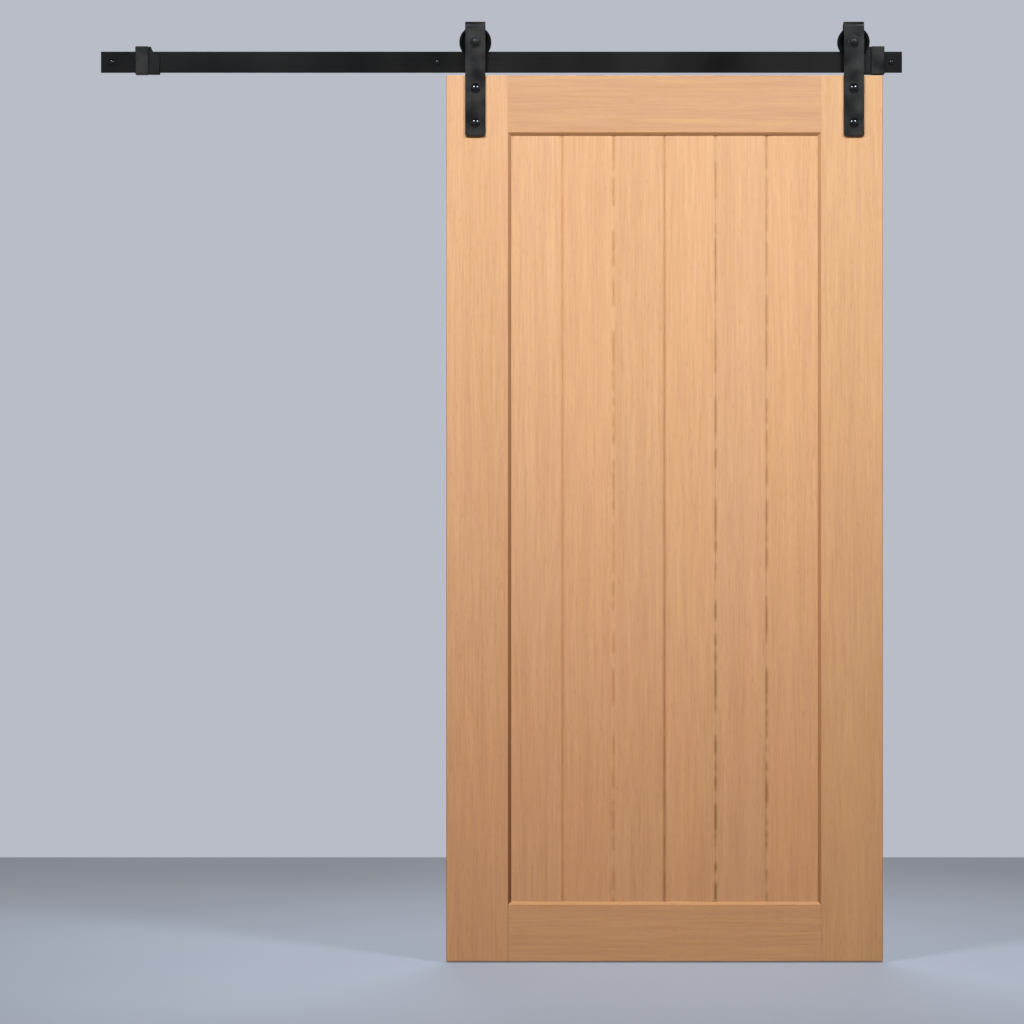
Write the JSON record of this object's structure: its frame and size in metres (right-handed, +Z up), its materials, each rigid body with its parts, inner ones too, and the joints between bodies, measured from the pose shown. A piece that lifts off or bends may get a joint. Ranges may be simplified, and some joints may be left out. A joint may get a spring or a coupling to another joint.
{
  "type": "sliding barn door",
  "caption": "Sliding barn door: framed oak leaf with V-jointed boards on strap hangers with grooved wheels, rolling on a flat wall track between end stops.",
  "frame": {"origin": "on the wall plane, midway between the two end wall screws, at mid-height of the track", "axes": "+X along the track to the right as seen from the room, +Y into the wall, +Z up"},
  "size_m": [1.9, 0.12, 2.2278],
  "materials": {
    "oak": "clear satin oil on straight-grained oak",
    "dowel_beech": "bare turned beech",
    "black_powder_coat": "satin black powder coat",
    "black_fastener": "semi-gloss black coating",
    "black_nylon": "turned black nylon",
    "bumper_rubber": "moulded black rubber",
    "bearing_steel": "ground bearing steel",
    "zinc_steel": "bright zinc plate",
    "cage_brass": "drawn brass"
  },
  "bodies": {
    "track": {"track_rail": "black_powder_coat", "wall_screws": "black_fastener", "stop_set_screws": "black_fastener", "wall_spacer_left": "black_powder_coat", "wall_spacer_middle": "black_powder_coat", "wall_spacer_right": "black_powder_coat", "left_stop_body": "black_powder_coat", "right_stop_body": "black_powder_coat", "left_stop_bumper": "bumper_rubber", "right_stop_bumper": "bumper_rubber"},
    "leaf": {"left_stile": "oak", "right_stile": "oak", "top_rail": "oak", "bottom_rail": "oak", "frame_dowels": "dowel_beech", "board_1": "oak", "board_2": "oak", "board_3": "oak", "board_4": "oak", "board_5": "oak", "board_6": "oak", "hanger_bolts": "black_fastener", "barrel_nuts": "black_fastener", "axle_washers": "black_fastener", "axle_nuts": "black_fastener", "left_hanger_strap": "black_powder_coat", "left_axle_bolt": "black_fastener", "left_axle_bushes": "zinc_steel", "left_bearing_inner_ring": "bearing_steel", "right_hanger_strap": "black_powder_coat", "right_axle_bolt": "black_fastener", "right_axle_bushes": "zinc_steel", "right_bearing_inner_ring": "bearing_steel"},
    "left_roller": {"left_wheel": "black_nylon", "left_bearing_outer_ring": "bearing_steel", "left_bearing_shields": "bearing_steel"},
    "left_ball_set": {"left_bearing_cage": "cage_brass", "left_bearing_balls": "bearing_steel"},
    "right_roller": {"right_wheel": "black_nylon", "right_bearing_outer_ring": "bearing_steel", "right_bearing_shields": "bearing_steel"},
    "right_ball_set": {"right_bearing_cage": "cage_brass", "right_bearing_balls": "bearing_steel"}
  },
  "joints": [
    {"name": "door_slide", "type": "slide", "parent": "track", "child": "leaf", "axis": [1, 0, 0], "range_m": [-0.733, 0]},
    {"name": "left_wheel_spin", "type": "hinge", "parent": "leaf", "child": "left_roller", "pos_m": [-0.062, -0.043, 0.0473], "axis": [0, 1, 0], "continuous": true},
    {"name": "left_ball_spin", "type": "hinge", "parent": "leaf", "child": "left_ball_set", "pos_m": [-0.062, -0.043, 0.0473], "axis": [0, 1, 0], "continuous": true},
    {"name": "right_wheel_spin", "type": "hinge", "parent": "leaf", "child": "right_roller", "pos_m": [0.835, -0.043, 0.0473], "axis": [0, 1, 0], "continuous": true},
    {"name": "right_ball_spin", "type": "hinge", "parent": "leaf", "child": "right_ball_set", "pos_m": [0.835, -0.043, 0.0473], "axis": [0, 1, 0], "continuous": true}
  ],
  "couplings": [
    {"joint": "left_wheel_spin", "follows": "door_slide", "rad_per_m": 45.455},
    {"joint": "left_ball_spin", "follows": "door_slide", "rad_per_m": 27.954},
    {"joint": "right_wheel_spin", "follows": "door_slide", "rad_per_m": 45.455},
    {"joint": "right_ball_spin", "follows": "door_slide", "rad_per_m": 27.954}
  ]
}
